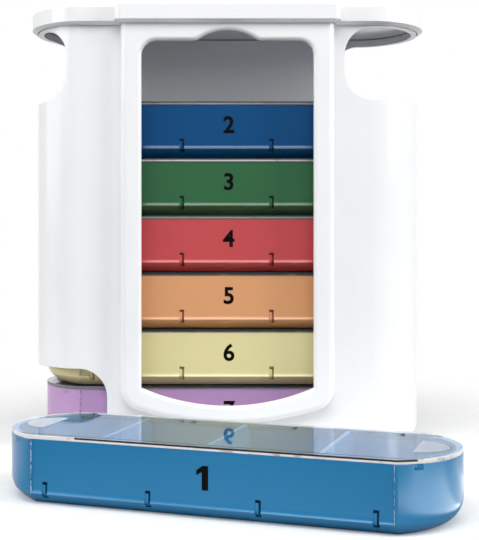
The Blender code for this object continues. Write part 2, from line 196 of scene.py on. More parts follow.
# %% [markdown]
# Its finish is pale and matt. Where the picture, a mirror or glass looks, it is lifted to
# white, and further back it turns into the white of the background. Gloss plastic that faces
# the camera mirrors the floor in front of the object, where the photographer stands: there it
# is as dim as the room, so the plastic keeps its colour. The whitening starts past the loose
# tray's shadow and grows away from the object.

# %% Floor finish
FLOOR_SHADE = 0.77
FLOOR_GRAIN = 0.04
FLOOR_GRAIN_SCALE = 40
FLOOR_LIFT = 0.13
FLOOR_SHIFT = (0, 0.05, 0)
FLOOR_STRETCH = (1.25, 1, 1)
WHITENS_OVER = (0.13, 0.28)
ROOM_OVER = (-0.07, -0.1)
BOUNCE = 0.8
BOUNCE_LOSS = 0.6
LOST_OVER = (0.065, 0.19)
MIRRORED_LOSS = 0.5
SHEET_ROUGHNESS = 0.7
SHEET_GLOSS = 0.2
WHITE = (1, 1, 1, 1)


def ray(start, kind):
    """1 for rays of this kind, and 0 for the others."""
    return start.node("LightPath", output=f"Is {kind} Ray")


def seen_directly(start):
    """1 where the picture, a mirror or glass looks, and 0 for light that bounces."""
    seen = ray(start, "Camera") + ray(start, "Glossy") + ray(start, "Transmission")
    return start.maths("MINIMUM", seen, 1)


def matt_sheet(start, shade):
    """A matt surface of one grey."""
    tone = start.node("CombineColor", {0: shade, 1: shade, 2: shade})
    return start.node("BsdfPrincipled", {
        "Base Color": tone, "Roughness": SHEET_ROUGHNESS, "Specular IOR Level": SHEET_GLOSS})


def glow(start, strength):
    """White that shines by itself."""
    return start.node("Emission", {"Color": WHITE, "Strength": strength})


floor_material, start = new_material("pale_floor")
place = start.node("TexCoord", output="Object")
towards_back = start.node("SeparateXYZ", {0: place}, output="Y")
centred = start.node("Mapping", {
    "Vector": place, "Location": FLOOR_SHIFT, "Scale": FLOOR_STRETCH})
away = start.node("VectorMath", {0: centred}, {"operation": "LENGTH"}, output="Value")
mirrored = ray(start, "Glossy")
bounced = BOUNCE - BOUNCE_LOSS * ramp(start, away, *LOST_OVER)
room_floor = matt_sheet(start, bounced * (1 - mirrored * MIRRORED_LOSS))
pale_sheet = matt_sheet(start, FLOOR_SHADE + noise(start, FLOOR_GRAIN_SCALE) * FLOOR_GRAIN)
lifted = start.node("AddShader", {0: pale_sheet, 1: glow(start, FLOOR_LIFT)})
near_or_far = blend(start, ramp(start, away, *WHITENS_OVER), lifted, glow(start, 1))
in_front = mirrored * ramp(start, towards_back, *ROOM_OVER)
back_or_front = blend(start, in_front, near_or_far, room_floor)
shown = blend(start, seen_directly(start), room_floor, back_or_front)
start.node("OutputMaterial", {"Surface": shown})
floor.data.materials.append(floor_material)
print("floor nodes:", len(floor_material.node_tree.nodes))

# %% [markdown]
# ## Studio light
#
# The world gives a plain grey light from all round. Where the picture looks it is white, and
# so it is where gloss mirrors the background behind the object. In front it is the dim room.
# Large soft boxes give the rest: the main one above and in front, a strong one on the right
# that makes the right end gleam, a weak one on the left, and a narrow one on the far left
# whose lower edge shows as a stripe on the tower. Two small cards lie beside the loose tray's
# right end, which mirrors them, the brighter one in front. They are there for that gleam
# alone, so the picture and matt surfaces don't see them, and light linking gives them to
# that tray only, as flags on a set would.

# %% World
AROUND_COLOUR = (0.95, 0.97, 1, 1)
AROUND_STRENGTH = 0.24
DIM_ROOM_OVER = (0.15, -0.35)
DIM_ROOM_LOSS = 0.85

world = bpy.data.worlds.new("studio")
world.use_nodes = True
world.node_tree.nodes.clear()
bpy.context.scene.world = world
sky = Signal(world.node_tree)
direction = sky.node("TexCoord", output="Generated")
backwards = sky.node("SeparateXYZ", {0: direction}, output="Y")
room = ray(sky, "Glossy") * ramp(sky, backwards, *DIM_ROOM_OVER)
around = sky.node("Background", {"Color": AROUND_COLOUR, "Strength": AROUND_STRENGTH})
white = sky.node("Background", {"Color": WHITE, "Strength": 1 - room * DIM_ROOM_LOSS})
both = blend(sky, seen_directly(sky), around, white)
sky.node("OutputWorld", {"Surface": both})
print("world strength:", AROUND_STRENGTH)

# %% [markdown]
# Each soft box has a name, a place, a point that it faces, a size and a power in watts. Each
# card has a name, a place across the loose tray's long axis, a length and a power.

# %% Soft boxes
SOFT_BOXES = [
    ("main", (-0.1, -0.75, 1.0), (0, 0, 0.1), (1.15, 0.6), 11.4),
    ("right", (1.25, -0.45, 0.67), (0, 0, 0.08), (0.7, 0.9), 15.5),
    ("left", (-1.1, -0.45, 0.65), (0, 0, 0.08), (0.8, 0.8), 6.6),
    ("stripe", (-0.55, 0.03, 0.16), (0, 0.03, 0.15), (0.33, 0.12), 0.14),
]
CARDS = [("card_front", -0.024, 0.070, 0.060), ("card_end", 0.034, 0.046, 0.012)]
CARD_HOME = Vector((0, -0.0985, 0.001))
CARD_ALONG = 0.1055
CARD_WIDTH = 0.063
LOOSE_TURN = math.radians(-19.3)


def soft_box(name, place, target, size, power):
    """A rectangular area lamp that faces a point."""
    data = bpy.data.lights.new(name, "AREA")
    data.shape = "RECTANGLE"
    data.size, data.size_y = size
    data.energy = power
    lamp = add_object(name, data)
    lamp.location = place
    lamp.rotation_euler = (Vector(target) - Vector(place)).to_track_quat("-Z", "Y").to_euler()
    return lamp


for settings in SOFT_BOXES:
    soft_box(*settings)
card_lit = bpy.data.collections.new("lit_by_the_cards")
card_turn = Matrix.Rotation(LOOSE_TURN, 3, "Z")
for name, across, length, power in CARDS:
    spot = CARD_HOME + card_turn @ Vector((CARD_ALONG, across, 0))
    card = soft_box(name, spot, spot + Vector((0, 0, 1)), (CARD_WIDTH, length), power)
    card.rotation_euler = card_turn.to_euler()
    card.rotation_euler.x += math.pi
    card.visible_camera = False
    card.visible_diffuse = False
    card.light_linking.receiver_collection = card_lit

# %% [markdown]
# ## Plastics
#
# All the opaque pieces are injection moulded in a gloss resin. Moulded gloss is never
# perfectly even: the skin has a very slight waviness from the steel, which softens the
# edges of reflections, and the gloss varies a little with handling. Both come from noise at
# the object's own scale: a wave of a few millimetres in the bump, and broader patches in
# the roughness and in the colour. Moulded edges are never razor sharp either: the Bevel node
# bends the normal near an edge as a radius of a few tenths of a millimetre would, so that
# every edge catches a thin line of light.

# %% Opaque plastic
EDGE_RADIUS = 0.0003
EDGE_SAMPLES = 6
PATCH_SCALE = 28
WAVE_SCALE = 160
GRAIN_SCALE = 2600
GRAIN_SHARE = 0.12
SKIN_STRENGTH = 0.06
SKIN_DEPTH = 0.0006
GLOSS_SPREAD = 0.1
COLOUR_SPREAD = 0.05
RESIN_IOR = 1.53
WHITE_ROUGHNESS = 0.16
TRAY_ROUGHNESS = 0.24


def moulded_plastic(name, colour, roughness):
    """Gloss moulded plastic with a slightly wavy skin, uneven gloss and soft edges."""
    material, start = new_material(name)
    edges = start.node("Bevel", {"Radius": EDGE_RADIUS}, {"samples": EDGE_SAMPLES})
    patches = noise(start, PATCH_SCALE, 4, 0.6)
    darker = [c * (1 - COLOUR_SPREAD) for c in colour]
    paler = [min(c * (1 + COLOUR_SPREAD), 1) for c in colour]
    skin = noise(start, WAVE_SCALE, 2, 0.4) + noise(start, GRAIN_SCALE, 2) * GRAIN_SHARE
    bump = start.node("Bump", {
        "Height": skin, "Strength": SKIN_STRENGTH, "Distance": SKIN_DEPTH, "Normal": edges})
    shader = start.node("BsdfPrincipled", {
        "Base Color": colour_between(start, patches, darker, paler),
        "Roughness": roughness - GLOSS_SPREAD / 2 + patches * GLOSS_SPREAD,
        "Normal": bump, "IOR": RESIN_IOR})
    start.node("OutputMaterial", {"Surface": shader})
    return material


TRAY_COLOURS = {
    "monday": (0.012, 0.17, 0.36),
    "tuesday": (0.002, 0.066, 0.20),
    "wednesday": (0.034, 0.134, 0.055),
    "thursday": (0.54, 0.074, 0.08),
    "friday": (0.70, 0.34, 0.158),
    "saturday": (0.73, 0.66, 0.34),
    "sunday": (0.46, 0.275, 0.51),
}
white_plastic = moulded_plastic("white_gloss_plastic", (0.86, 0.865, 0.875), WHITE_ROUGHNESS)
tray_plastics = {
    day: moulded_plastic(day + "_gloss_plastic", colour, TRAY_ROUGHNESS)
    for day, colour in TRAY_COLOURS.items()}
print("gloss plastics:", 1 + len(tray_plastics))

# %% [markdown]
# The upright edges of the trays' panels stand proud. On those narrow faces a material of their own
# paints shade and glints in spots: a darker colour as painted shade of the step, and a paler one
# as painted highlights on its edge. That is plainer than a mask over the whole tray.

# %% Painted glints and shade on edges
GLINT_SCALE = 900
GLINT_OVER = (0.42, 0.58)
GLINT_ROUGHNESS = 0.35


def worn_plastic(name, colour):
    """The same resin on a proud edge, with painted shade and painted glints in spots."""
    material, start = new_material(name)
    glint_spots = ramp(start, noise(start, GLINT_SCALE, 2, 0.6), *GLINT_OVER)
    # The darker colour is painted shade of the step, the paler one a painted glint on its edge.
    darker = [c * 0.5 for c in colour]
    glint_colour = [c * 0.3 + 0.5 for c in colour]
    shader = start.node("BsdfPrincipled", {
        "Base Color": colour_between(start, glint_spots, darker, glint_colour),
        "Roughness": GLINT_ROUGHNESS + glint_spots * GLOSS_SPREAD})
    start.node("OutputMaterial", {"Surface": shader})
    return material


glint_and_shade_edges = {
    day: worn_plastic(day + "_worn_plastic", colour) for day, colour in TRAY_COLOURS.items()}
# These are the materials with painted glints and painted shade.
print("painted glint plastics:", len(glint_and_shade_edges))

# %% [markdown]
# ## Clear plastic, its frosted grips, and ink
#
# The lids are clear styrene. Real clear plastic bends and mirrors light, so it is made of a
# shader that transmits, with the index of styrene-like resins. At a flat angle such a plate
# mirrors half of what it meets, and a share of it only bends the light, as if a polarising
# filter on the lens took some of the veil away. Path tracing finds it hard to send lamp light
# through such a surface, so shadow rays pass straight through: the compartments below are lit
# as they would be.
#
# The finger grips and the plate's edge are the same resin with a matt skin that scatters light:
# there the shader transmits a third or less. The edges carry painted patches of bent light, where
# a sawn or moulded edge would bend light unevenly. Each lid's edge gets a painted light tone of
# its own, because an edge shows what lies behind it: the high lids are painted bright for the
# light of the back wall, and the low ones dark for the view into the dark.
# Along the flat sides the plate's upper rim is painted black, as a painted shadow line for the
# dark gap that the rim bends the view down into. The printed numbers are a thin matt black ink.

# %% Clear plastic and ink
UNMIRRORED = 0.34
LID_IOR = 1.49
LID_WAVE_SCALE = 120
LID_SKIN_STRENGTH = 0.03
LID_SKIN_DEPTH = 0.0005
PATCHY_SCALE = 260
PATCHY_OVER = (0.5, 0.75)
BENT_LIGHT_COLOUR = (0.30, 0.20, 0.14)
SHADOW_TINT = (0.9, 0.92, 0.94, 1)
INK_COLOUR = (0.002, 0.002, 0.002, 1)
INK_ROUGHNESS = 0.4
INK_GLOSS = 0.1
INK_GRAIN = 0.2
INK_GRAIN_SCALE = 900


def clear_plastic(name, roughness, tint, transmission=1, painted_bent_light=0):
    """Clear resin, or with less transmission the same resin with a matt skin."""
    material, start = new_material(name)
    skin = noise(start, LID_WAVE_SCALE, 2, 0.4)
    # Painted patches of bent light, mixed into the edge's tone.
    patches = ramp(start, noise(start, PATCHY_SCALE, 2), *PATCHY_OVER)
    bump = start.node("Bump", {
        "Height": skin, "Strength": LID_SKIN_STRENGTH, "Distance": LID_SKIN_DEPTH})
    glass = start.node("BsdfPrincipled", {
        "Base Color": colour_between(start, patches * painted_bent_light, tint, BENT_LIGHT_COLOUR),
        "Roughness": roughness, "IOR": LID_IOR, "Transmission Weight": transmission,
        "Normal": bump})
    if transmission == 1:
        bend = start.node("BsdfRefraction", {
            "Color": tint + (1,), "Roughness": roughness, "IOR": LID_IOR, "Normal": bump})
        glass = blend(start, UNMIRRORED, glass, bend)
    clear = start.node("BsdfTransparent", {"Color": SHADOW_TINT})
    start.node("OutputMaterial", {"Surface": blend(start, ray(start, "Shadow"), glass, clear)})
    return material


clear_lid = clear_plastic("clear_lid_plastic", 0.02, (0.97, 0.985, 1.0))
frosted_grip = clear_plastic("frosted_grip_plastic", 0.4, (0.95, 0.95, 0.96), 0.35)
# Each lid edge's tone is painted light: bright where a high lid passes the back wall's light, dark
# where a low one looks into the dark.
EDGE_PAINTED_LIGHT = {
    "monday": (0.95, 0.88, 0.84),
    "tuesday": (0.38, 0.39, 0.41),
    "wednesday": (0.82, 0.70, 0.77),
    "thursday": (0.32, 0.42, 0.43),
    "friday": (0.06, 0.085, 0.10),
    "saturday": (0.08, 0.10, 0.12),
    "sunday": (0.20, 0.20, 0.24),
}
frosted_painted_light_edges = {
    day: clear_plastic(day + "_lid_edge_plastic", 0.35, tone, 0.25, 0.6)
    for day, tone in EDGE_PAINTED_LIGHT.items()}
# A black edge material: a painted shadow line along the lid's upper rim.
painted_shadow_rim = clear_plastic("dark_rim_plastic", 0.2, (0.02, 0.02, 0.025), 0)

ink, start = new_material("black_ink")
ink_shader = start.node("BsdfPrincipled", {
    "Base Color": INK_COLOUR, "Specular IOR Level": INK_GLOSS,
    "Roughness": INK_ROUGHNESS + noise(start, INK_GRAIN_SCALE, 2) * INK_GRAIN})
start.node("OutputMaterial", {"Surface": ink_shader})
print("clear plastics:", 3 + len(frosted_painted_light_edges))

# %% [markdown]
# ## Drawing outlines
#
# Most pieces start as a flat outline of straight lines and arcs that is the same left and
# right. `draw` runs a chain of edges from a start point: a move of three numbers is the next
# point, and a move of four is an arc, which spins the last point round a centre. The chain is
# then mirrored and filled.

# %% Outline helpers
TIGHT = 0.000001


def draw(bm, start, *moves):
    """Draw a chain of edges and return them."""
    tip = bm.verts.new(start)
    known = set(bm.edges)
    for move in moves:
        if len(move) == 3:
            tip = bmesh.ops.extrude_vert_indiv(bm, verts=[tip])["verts"][0]
            tip.co = move
        else:
            centre, axis, angle, steps = move
            swept = bmesh.ops.spin(
                bm, geom=[tip], cent=centre, axis=axis, angle=angle, steps=steps)
            tip = next(item for item in swept["geom_last"] if isinstance(item, bmesh.types.BMVert))
    return [edge for edge in bm.edges if edge not in known]


def weld(bm, distance):
    """Join points that lie closer than a distance."""
    bmesh.ops.remove_doubles(bm, verts=bm.verts, dist=distance)


def mirror_left(bm):
    """Complete a right half with its left half, joined at the middle plane."""
    everything = bm.verts[:] + bm.edges[:] + bm.faces[:]
    bmesh.ops.mirror(bm, geom=everything, axis="X", merge_dist=TIGHT)
    weld(bm, TIGHT)


def fill_open_edges(bm):
    """Close every open rim with a face."""
    rim = [edge for edge in bm.edges if len(edge.link_faces) < 2]
    bmesh.ops.holes_fill(bm, edges=rim, sides=0)

# %% [markdown]
# An outline becomes a solid when it is extruded. Solids are joined and cut with exact
# booleans, as a mould maker would cut steel, and an edge is rounded in the mesh right after
# the cut that made it, so that the next cut goes through the rounding too.

# %% Solid helpers
CLOSE = 0.00001
NEAR = 0.00002


def solid(name, bm):
    """Turn a bmesh into an object with its faces pointing out."""
    bmesh.ops.recalc_face_normals(bm, faces=bm.faces)
    return add_object(name, mesh_from(name, bm))


def swept_solid(name, bm, move):
    """Close and fill the drawn outline and extrude it along a move."""
    weld(bm, TIGHT)
    made = bmesh.ops.contextual_create(bm, geom=bm.edges[:])
    swept = bmesh.ops.extrude_face_region(bm, geom=made["faces"])
    moved = [item for item in swept["geom"] if isinstance(item, bmesh.types.BMVert)]
    bmesh.ops.translate(bm, verts=moved, vec=move)
    return solid(name, bm)


def evaluated_mesh(item):
    """The mesh of an object after its modifiers."""
    depsgraph = bpy.context.evaluated_depsgraph_get()
    return bpy.data.meshes.new_from_object(item.evaluated_get(depsgraph))


def combine(body, operation, *tools):
    """Cut the tools out of a body or join them to it, and drop the tools."""
    for tool in tools:
        change = body.modifiers.new(tool.name, "BOOLEAN")
        change.operation = operation
        change.solver = "EXACT"
        change.object = tool
    mesh = evaluated_mesh(body)
    body.modifiers.clear()
    body.data = mesh
    for tool in tools:
        bpy.data.objects.remove(tool, do_unlink=True)
    return body


def report(item):
    """Print how many faces a piece has by now."""
    print(item.name, "faces:", len(item.data.polygons))


def round_edges(bm, edges, radius, segments):
    """Round some edges of a bmesh."""
    bmesh.ops.bevel(bm, geom=edges, offset=radius, offset_type="OFFSET", affect="EDGES",
                    segments=segments, profile=0.5, material=-1, clamp_overlap=True)


def soften(body, radius, segments, chosen):
    """Round the edges that `chosen` picks."""
    bm = bmesh.new()
    bm.from_mesh(body.data)
    weld(bm, CLOSE)
    edges = [edge for edge in bm.edges if chosen(edge)]
    round_edges(bm, edges, radius, segments)
    bm.to_mesh(body.data)
    bm.free()
    print(body.name, "softened edges:", len(edges))


def all_near(edge, axis, value):
    """Whether both ends of an edge lie at a value on an axis."""
    return all(abs(vert.co[axis] - value) < NEAR for vert in edge.verts)

# %% [markdown]
# Trays, lids, tower and cap share one kind of plan: two flat sides, and at each end an arc
# through the sides' corners and the tip. Three numbers give it: half the length, half the
# depth, and where the flat side ends. A rounded foot is a stack of such outlines, each a bit
# further in than the one above it, bridged one to the next.

# %% Plans with round ends
CORNER_STEPS = 10
UP = (0, 0, 1)


def end_arc(plan):
    """Centre and radius of the arc through the flat side's corner and the end's tip."""
    half_length, half_depth, flat_half = plan
    reach = half_length - flat_half
    radius = (reach ** 2 + half_depth ** 2) / (2 * reach)
    return half_length - radius, radius


def moved_in(plan, inset):
    """A plan (half length, half depth, flat half) moved inwards by a wall."""
    centre, radius = end_arc(plan)
    depth = plan[1] - inset
    flat_half = centre + math.sqrt((radius - inset) ** 2 - depth ** 2)
    return plan[0] - inset, depth, flat_half


def half_outline(bm, plan, height, steps, corner=0, front=(), back=()):
    """The right half of a plan at a height: front, soft corner, round end and back."""
    depth = plan[1]
    centre, radius = end_arc(plan)
    across = depth - corner
    along = centre + math.sqrt((radius - corner) ** 2 - across ** 2)
    lean = math.atan2(across, along - centre)
    turn = math.pi / 2 - lean
    moves = list(front) or [(0, -depth, height)]
    moves.append((along, -depth, height))
    if corner:
        moves.append(((along, -across, height), UP, turn, CORNER_STEPS))
    moves.append(((centre, 0, height), UP, 2 * lean, steps))
    if corner:
        moves.append(((along, across, height), UP, turn, CORNER_STEPS))
    return draw(bm, *moves, *(list(back) or [(0, depth, height)]))


def rounding(height, radius):
    """How far a rounded foot lies inside the wall at a height."""
    rise = max(radius - height, 0)
    return radius - math.sqrt(radius ** 2 - rise ** 2)


def rounding_heights(radius, steps):
    """The heights that share a rounded foot's turn evenly."""
    return [radius * (1 - math.cos(math.pi / 2 * step / steps)) for step in range(steps + 1)]


def stacked(bm, outlines):
    """Bridge half outlines into a wall, mirror it and close it top and bottom."""
    for lower, upper in zip(outlines, outlines[1:]):
        bmesh.ops.bridge_loops(bm, edges=lower + upper)
    mirror_left(bm)
    fill_open_edges(bm)

# %% [markdown]
# ## A tray
#
# The tray is a shallow box. Each long side has a flat panel, sunk by 0.6 mm into a frame of
# the round ends and the chamfered foot. Where the panel meets the foot, a hollow curve runs
# out to a ridge that catches the light. The ends have a round foot instead, and they blend
# softly into the sides. The outside is a stack of outlines bridged one to the next, because
# the foot is different on the ends and on the sides.

# %% Tray outside
TRAY_PLAN = (0.0695, 0.0213, 0.0549)
TRAY_HEIGHT = 0.0194
END_ROUNDING = 0.0072
RIDGE_HEIGHT = 0.0033
RIDGE_SOFTNESS = 0.0002
RIDGE_SHARES = (-1, -0.5, 0, 0.5, 1)
LIP_RISE = 0.0015
LIP_SHARES = (0.06, 0.12, 0.25, 0.4, 0.55, 0.7, 0.85, 1)
TRAY_CORNER = 0.0022
CHAMFER_DEPTH = 0.0042
PANEL_RECESS = 0.0006
PANEL_STEP = 0.0008
STEP_WIDTH = 0.0003
PANEL_END = TRAY_PLAN[2] - PANEL_STEP
PANEL_DEPTH = TRAY_PLAN[1] - PANEL_RECESS
ARC_STEPS = 28


def side_inset(height):
    """How far the chamfered foot lies inside the panel: a slope with a soft turn at the ridge."""
    slope = CHAMFER_DEPTH / RIDGE_HEIGHT
    turn = (RIDGE_HEIGHT + RIDGE_SOFTNESS - height) / (2 * RIDGE_SOFTNESS)
    if turn <= 0:
        return 0
    if turn >= 1:
        return slope * (RIDGE_HEIGHT - height)
    return slope * RIDGE_SOFTNESS * turn ** 2


def panel_recess(height):
    """How far the panel lies inside its frame: none below the ridge, then a hollow curve."""
    rise = min(max((height - RIDGE_HEIGHT) / LIP_RISE, 0), 1)
    return PANEL_RECESS * (1 - (1 - rise) ** 2)


def tray_outside():
    """The tray's outside, still full."""
    ridge = [RIDGE_HEIGHT + RIDGE_SOFTNESS * share for share in RIDGE_SHARES]
    lip = [RIDGE_HEIGHT + LIP_RISE * share for share in LIP_SHARES]
    heights = sorted(set(rounding_heights(END_ROUNDING, 10) + ridge + lip + [TRAY_HEIGHT]))
    bm = bmesh.new()
    outlines = []
    for height in heights:
        depth = TRAY_PLAN[1] - side_inset(height)
        plan = (TRAY_PLAN[0] - rounding(height, END_ROUNDING), depth, TRAY_PLAN[2])
        panel = depth - panel_recess(height)
        front = [(0, -panel, height), (PANEL_END, -panel, height),
                 (PANEL_END + STEP_WIDTH / 3, (-panel - 2 * depth) / 3, height),
                 (PANEL_END + STEP_WIDTH, -depth, height)]
        back = [(along, -across, up) for along, across, up in reversed(front)]
        outlines.append(half_outline(bm, plan, height, ARC_STEPS, TRAY_CORNER, front, back))
    stacked(bm, outlines)
    return solid("tray", bm)


tray_model = tray_outside()
report(tray_model)

# %% [markdown]
# Three dividers part the tray's inside into four hollows. Each hollow is a cutter of its own: a
# stack of outlines with a rounded foot, cut off at the divider walls, where it gets small
# fillets as a mould has them.

# %% Compartments
TRAY_WALL = 0.0020
TRAY_FLOOR = 0.0016
PITCH_ALONG = 0.0331
DIVIDER = 0.0014
DIVIDER_FACE = 0.0001
HOLLOW_ROUNDING = 0.0050
HOLLOW_EDGE = 0.0010
OVERRUN = 0.0050
PAST_END = 0.08


def compartment(left, right):
    """The hollow between two dividers, with small fillets at the divider walls."""
    plan = moved_in((TRAY_PLAN[0], PANEL_DEPTH, TRAY_PLAN[2]), TRAY_WALL)
    top = TRAY_HEIGHT + OVERRUN
    bm = bmesh.new()
    outlines = []
    for height in rounding_heights(HOLLOW_ROUNDING, 8) + [top - TRAY_FLOOR]:
        inset = rounding(height, HOLLOW_ROUNDING)
        level = tuple(size - inset for size in plan)
        outlines.append(half_outline(bm, level, TRAY_FLOOR + height, ARC_STEPS))
    stacked(bm, outlines)
    for place, away in ((left, -1), (right, 1)):
        everything = bm.verts[:] + bm.edges[:] + bm.faces[:]
        bmesh.ops.bisect_plane(
            bm, geom=everything, plane_co=(place, 0, 0), plane_no=(away, 0, 0), clear_outer=True)
        fill_open_edges(bm)
    faces = [face for face in bm.faces
             if abs(face.normal.x) > 0.999 and face.calc_area() > DIVIDER_FACE]
    rims = {edge for face in faces for edge in face.edges if not all_near(edge, 2, top)}
    round_edges(bm, list(rims), HOLLOW_EDGE, 3)
    return solid("compartment", bm)


walls = [-PITCH_ALONG, 0, PITCH_ALONG]
lefts = [-PAST_END] + [wall + DIVIDER / 2 for wall in walls]
rights = [wall - DIVIDER / 2 for wall in walls] + [PAST_END]
hollows = [compartment(left, right) for left, right in zip(lefts, rights)]
combine(tray_model, "DIFFERENCE", *hollows)
report(tray_model)

# %% [markdown]
# The lid's two rails run in grooves along the long walls: a narrow slot from above that
# widens into an undercut, so that the lid can slide but can't lift.

# %% Grooves
GAP = 0.0003
RAIL_OUTER = PANEL_DEPTH - TRAY_WALL - GAP
RAIL_THICKNESS = 0.0009
RAIL_DROP = 0.0014
TONGUE = 0.0006
TONGUE_THICKNESS = 0.0006
RAIL_GAP = 0.00006


def bar_along(name, left, length, section, side=1):
    """A bar along the tray, from the points of depth and height round its section."""
    points = [(left, side * across, up) for across, up in section]
    bm = bmesh.new()
    draw(bm, *points, points[0])
    return swept_solid(name, bm, (length, 0, 0))


def groove(side):
    """The way of one rail, drawn as a section and run along the tray."""
    inner = RAIL_OUTER - RAIL_THICKNESS - RAIL_GAP
    outer = RAIL_OUTER + RAIL_GAP
    foot = TRAY_HEIGHT - RAIL_DROP - RAIL_GAP
    roof = foot + TONGUE_THICKNESS + 2 * RAIL_GAP
    top = TRAY_HEIGHT + OVERRUN
    section = [(inner, top), (inner, foot), (outer + TONGUE, foot), (outer + TONGUE, roof),
               (outer, roof), (outer, top)]
    return bar_along("groove", -PAST_END, 2 * PAST_END, section, side)


grooves = [groove(1), groove(-1)]
print("grooves:", len(grooves))

# %% [markdown]
# On the front there is a small recess under the middle of each compartment with a deep hook in
# it: a bar along its top, and a narrow nick from the bar's right end down over the ridge. All
# the cutters go through the tray in one pass.

# %% Front slots
SLOT_WIDTH = 0.0017
SLOT_SHIFT = -0.0003
SLOT_TOP = 0.0069
SLOT_FOOT = 0.0020
SLOT_DEPTH = 0.0001
HOOK_DEPTH = 0.0016
SLOT_BAR = 0.0009
SLOT_NICK = 0.0006
SLOT_INSET = 0.00005


def cut_from_front(left, width, *section):
    """A cutter that comes from the front to the points of depth and height."""
    outside = -TRAY_PLAN[1] - OVERRUN
    return bar_along("slot", left, width, [
        (outside, section[0][1]), *section, (outside, section[-1][1])])


def slot(number):
    """The shallow recess, and in it the hook's bar and nick, whose faces never coincide."""
    left = PITCH_ALONG * (number - 1.5) - SLOT_WIDTH / 2 + SLOT_SHIFT
    slope = CHAMFER_DEPTH / RIDGE_HEIGHT
    drop = slope * (RIDGE_HEIGHT - SLOT_FOOT)
    recess = SLOT_DEPTH - PANEL_DEPTH
    bottom = HOOK_DEPTH - PANEL_DEPTH
    deeper = bottom + SLOT_INSET
    shallow = cut_from_front(
        left, SLOT_WIDTH, (recess, SLOT_TOP), (recess, RIDGE_HEIGHT), (recess + drop, SLOT_FOOT))
    bar = cut_from_front(left + SLOT_INSET, SLOT_WIDTH - 2 * SLOT_INSET,
                         (bottom, SLOT_TOP - SLOT_INSET), (bottom, SLOT_TOP - SLOT_BAR))
    nick = cut_from_front(left + SLOT_WIDTH - SLOT_NICK - 2 * SLOT_INSET, SLOT_NICK,
                          (deeper, SLOT_TOP - SLOT_BAR / 2), (deeper, RIDGE_HEIGHT),
                          (deeper + drop, SLOT_FOOT + SLOT_INSET))
    return shallow, bar, nick


slots = [cut for number in range(4) for cut in slot(number)]
combine(tray_model, "DIFFERENCE", *grooves, *slots)
report(tray_model)

# %% [markdown]
# ## A lid
#
# The lid is a flat plate with the tray's outline on two L-shaped rails. Near each end a D-shaped
# field of fine ribs gives the finger a hold. The plate has an outline more than it needs, just
# below its top, so that the painted shadow rim, a black line painted along the top of the plate's
# edge, has faces of its own.

# %% Lid
LID_THICKNESS = 0.0010
GRIP_START = 0.0570
GRIP_LENGTH = 0.0090
GRIP_HALF_WIDTH = 0.0090
GRIP_DEPTH = 0.0004
GRIP_RIBS = 14
LID_TOP = TRAY_HEIGHT + GAP + LID_THICKNESS
LID_BOTTOM = TRAY_HEIGHT + GAP / 2
LID_EDGE = 0.0002
SHARP = 1
RIM_DEPTH = 0.0005
RIM_HEIGHT = LID_TOP - RIM_DEPTH
RIM_LEFT = 0.0400
RIM_RIGHT = 0.0608


def lid_rail(side):
    """One L-shaped rail, trimmed to the tray's plan."""
    foot = TRAY_HEIGHT - RAIL_DROP
    inner = RAIL_OUTER - RAIL_THICKNESS
    root = LID_BOTTOM + LID_THICKNESS / 2
    ledge = foot + TONGUE_THICKNESS
    section = [(inner, root), (inner, foot), (RAIL_OUTER + TONGUE, foot),
               (RAIL_OUTER + TONGUE, ledge), (RAIL_OUTER, ledge), (RAIL_OUTER, root)]
    rail = bar_along("lid_rail", -TRAY_PLAN[0], 2 * TRAY_PLAN[0], section, side)
    trim = moved_in(TRAY_PLAN, RAIL_GAP)
    bm = bmesh.new()
    stacked(bm, [half_outline(bm, trim, height, ARC_STEPS, TRAY_CORNER)
                 for height in (foot - OVERRUN, root + OVERRUN)])
    return combine(rail, "INTERSECT", solid("rail_trim", bm))


def grip_groove(side, number):
    """One V between two ribs, as long as the D is wide there."""
    pitch = GRIP_LENGTH / GRIP_RIBS
    along = pitch * (number + 0.5)
    half_width = GRIP_HALF_WIDTH * math.sqrt(1 - (along / GRIP_LENGTH) ** 2)
    middle = side * (GRIP_START + along)
    bottom = (middle, -half_width, LID_TOP - GRIP_DEPTH)
    top = LID_TOP + GRIP_DEPTH / 5
    bm = bmesh.new()
    draw(bm, bottom, (middle + pitch / 2, -half_width, top),
         (middle - pitch / 2, -half_width, top), bottom)
    return swept_solid("grip_groove", bm, (0, 2 * half_width, 0))


bm = bmesh.new()
lid_outlines = []
for height in (LID_BOTTOM, RIM_HEIGHT, LID_TOP):
    front = [(0, -TRAY_PLAN[1], height), (RIM_LEFT, -TRAY_PLAN[1], height)]
    lid_outlines.append(half_outline(bm, TRAY_PLAN, height, ARC_STEPS, 0, front))
stacked(bm, lid_outlines)
lid_model = solid("lid", bm)
soften(lid_model, LID_EDGE, 2, lambda edge: edge.calc_face_angle(0) > SHARP)
combine(lid_model, "UNION", lid_rail(1), lid_rail(-1))
ribs = [grip_groove(side, number) for side in (1, -1) for number in range(GRIP_RIBS)]
combine(lid_model, "DIFFERENCE", *ribs)
report(lid_model)

# %% [markdown]
# ## The tower
#
# The tower is one moulding. Its body follows the trays' plan, a little larger, but its ends
# blend softly into the flat sides, and its foot is rounded. The body starts as a full block
# from a stack of outlines, and everything else is joined to it or cut out of it. All rims are
# rounded, because the light on such a rim is what makes white plastic look moulded.

# %% Tower body
WALL = 0.0022
TOWER_PLAN = (0.0729, 0.0244, 0.0566)
TOWER_CORNER = 0.0150
TOWER_FLOOR = 0.0027
TOWER_TOP = 0.1584
FOOT_ROUNDING = 0.0080
TOWER_STEPS = 32


